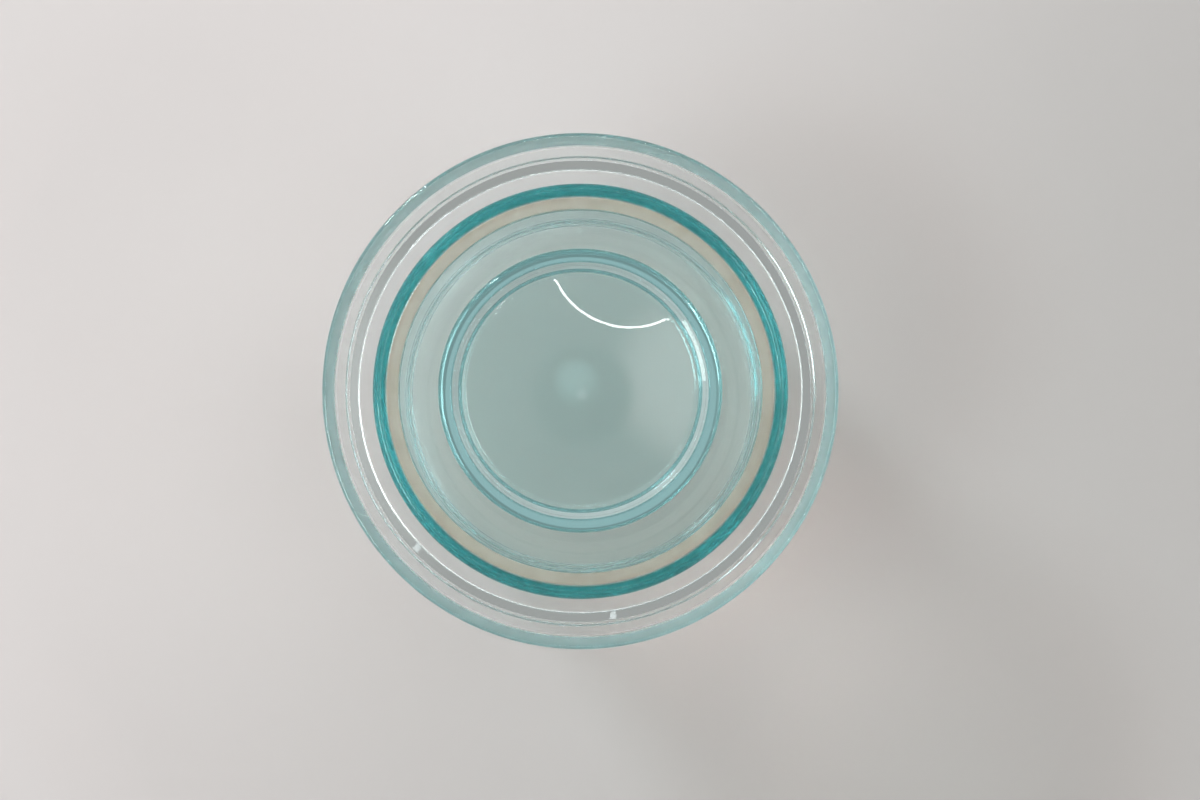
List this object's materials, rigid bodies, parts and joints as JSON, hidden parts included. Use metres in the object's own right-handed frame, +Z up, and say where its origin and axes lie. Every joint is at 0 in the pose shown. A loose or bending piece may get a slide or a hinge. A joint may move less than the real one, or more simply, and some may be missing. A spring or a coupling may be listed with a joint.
{
  "type": "glass storage jar",
  "caption": "Round storage jar of pale aqua glass with a straight wall, closed by an overhanging glass lid with a broad mushroom knob and a plug that carries a soft seal ring.",
  "frame": {"origin": "centre of the jar's foot, on the surface it stands on", "axes": "+Z up along the jar's axis, +X to the right and +Y to the top of the picture"},
  "size_m": [0.12, 0.12, 0.1308],
  "materials": {
    "jar_glass": "clear aqua-tinted pressed glass, fire-polished",
    "lid_glass": "clear aqua-tinted pressed glass, fire-polished",
    "seal_rubber": "yellowed translucent rubber, matt"
  },
  "bodies": {
    "jar": {"jar_body": "jar_glass"},
    "lid_assembly": {"lid": "lid_glass", "seal_ring": "seal_rubber"}
  },
  "joints": [
    {"name": "lid_lift", "type": "slide", "parent": "jar", "child": "lid_assembly", "axis": [0, 0, 1], "range_m": [0, 0.12]}
  ]
}
